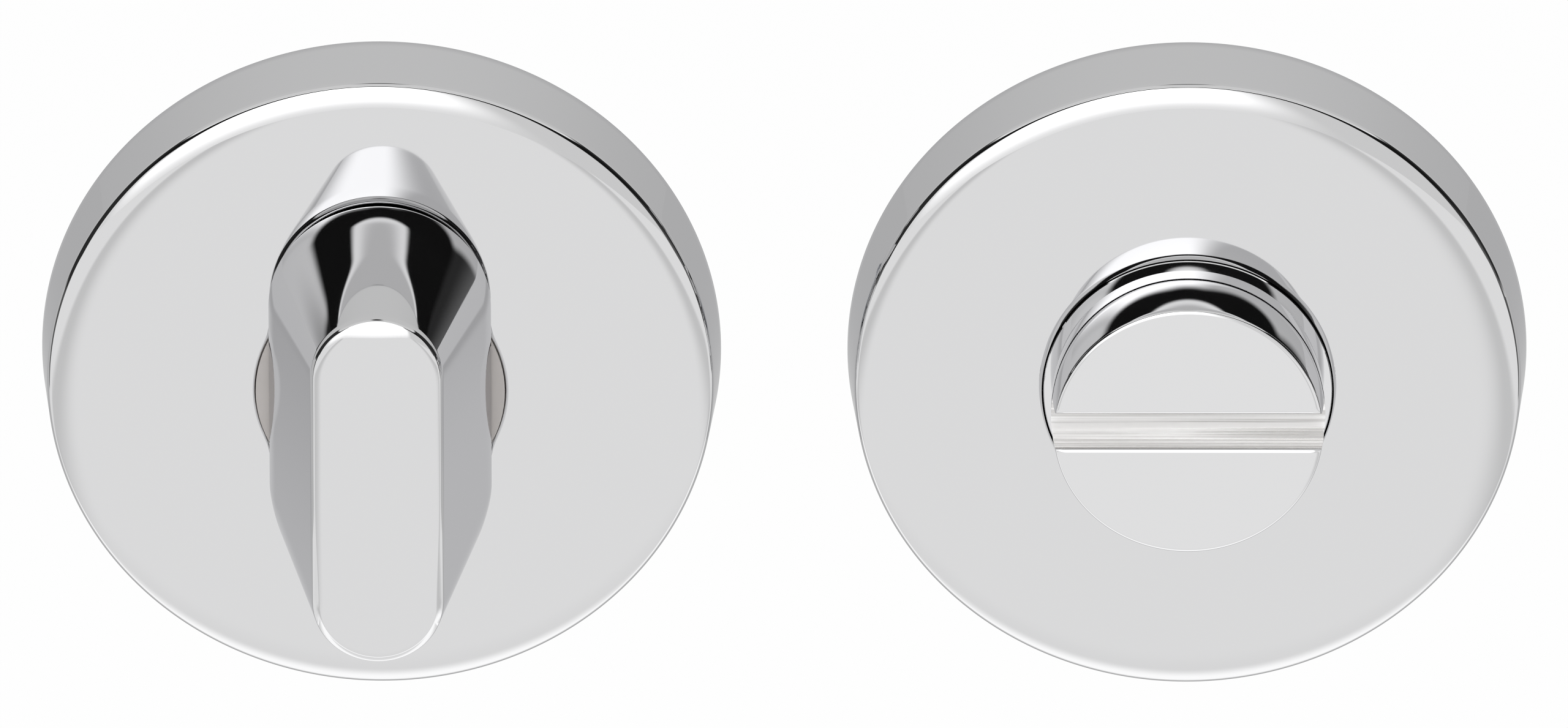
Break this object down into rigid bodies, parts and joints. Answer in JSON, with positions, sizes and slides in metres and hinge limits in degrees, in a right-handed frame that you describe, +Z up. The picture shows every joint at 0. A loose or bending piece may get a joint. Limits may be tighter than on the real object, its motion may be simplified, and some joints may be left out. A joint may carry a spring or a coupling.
{
  "type": "bathroom thumb turn lock",
  "caption": "Round-rose bathroom lock: an inside half with a tapered thumb turn on a square spindle and an outside half with a coin-slot emergency release plug.",
  "frame": {"origin": "turn half's axis on the door face", "axes": "+Y into the door, so the knob points to -Y; +Z up along the knob's blade at rest; +X towards the release half"},
  "size_m": [0.1093, 0.0683, 0.05],
  "materials": {
    "polished_chrome": "mirror-polished chrome plate",
    "plate_nylon": "moulded black nylon",
    "bush_nylon": "grey-beige bearing nylon",
    "washer_brass": "stamped brass",
    "zinc_steel": "bright zinc-plated steel",
    "spring_steel": "phosphated spring steel"
  },
  "bodies": {
    "base": {"turn_rose_cover": "polished_chrome", "turn_fixing_plate": "plate_nylon", "turn_bush": "bush_nylon", "turn_thrust_washer": "washer_brass", "turn_fixing_bolts": "zinc_steel", "turn_wood_screws": "zinc_steel", "release_rose_cover": "polished_chrome", "release_fixing_plate": "plate_nylon", "release_bush": "bush_nylon", "release_thrust_washer": "washer_brass", "release_threaded_posts": "zinc_steel", "release_wood_screws": "zinc_steel"},
    "turn": {"turn_knob": "polished_chrome", "turn_spindle": "zinc_steel", "turn_spindle_pin": "spring_steel", "turn_spring_washer": "spring_steel", "turn_circlip": "spring_steel"},
    "release": {"release_plug": "polished_chrome", "release_spring_washer": "spring_steel", "release_circlip": "spring_steel"}
  },
  "joints": [
    {"name": "turn_rotation", "type": "hinge", "parent": "base", "child": "turn", "pos_m": [0, 0, 0], "axis": [0, -1, 0], "range_deg": [0, 90]},
    {"name": "release_rotation", "type": "hinge", "parent": "base", "child": "release", "pos_m": [0.0593, 0, 0], "axis": [0, -1, 0], "range_deg": [-90, 0]}
  ]
}
